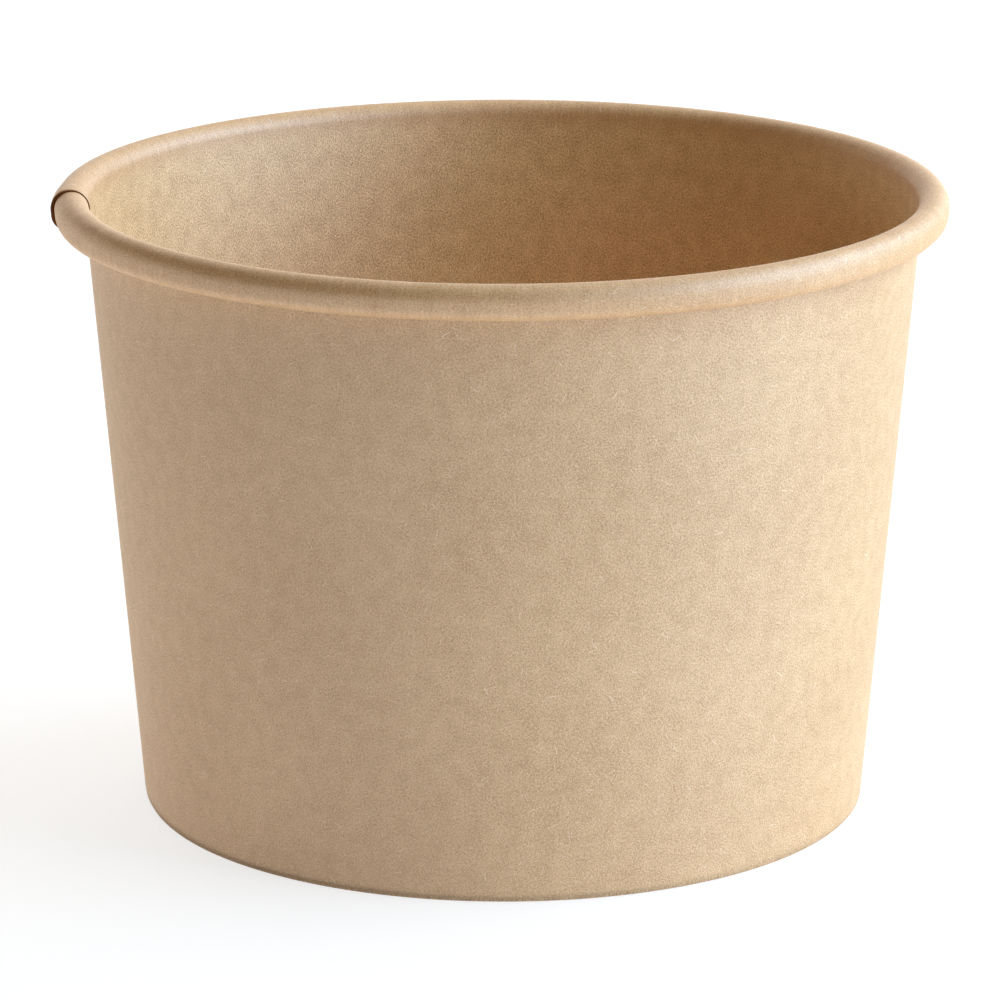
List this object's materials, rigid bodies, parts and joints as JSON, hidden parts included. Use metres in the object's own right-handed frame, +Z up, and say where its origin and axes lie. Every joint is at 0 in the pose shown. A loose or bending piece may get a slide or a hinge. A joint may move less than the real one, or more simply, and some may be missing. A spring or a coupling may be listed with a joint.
{
  "type": "paper soup cup",
  "caption": "Open tapered kraft paper soup cup with a rolled rim, a glued lap seam down the side and a recessed base held in a folded foot.",
  "frame": {"origin": "on the table, at the centre of the foot", "axes": "+Z up the cup's axis to the open rim; the side seam is near -X and the pictured front faces -Y"},
  "size_m": [0.0902, 0.09, 0.0637],
  "materials": {
    "kraft_wall": "uncoated brown kraft board outside, thin satin food-safe lining on the inside and over the rolled rim",
    "kraft_base": "brown kraft board with a thin satin lining on the food side"
  },
  "bodies": {
    "root": {"side_wall": "kraft_wall", "base_disc": "kraft_base"}
  },
  "joints": []
}
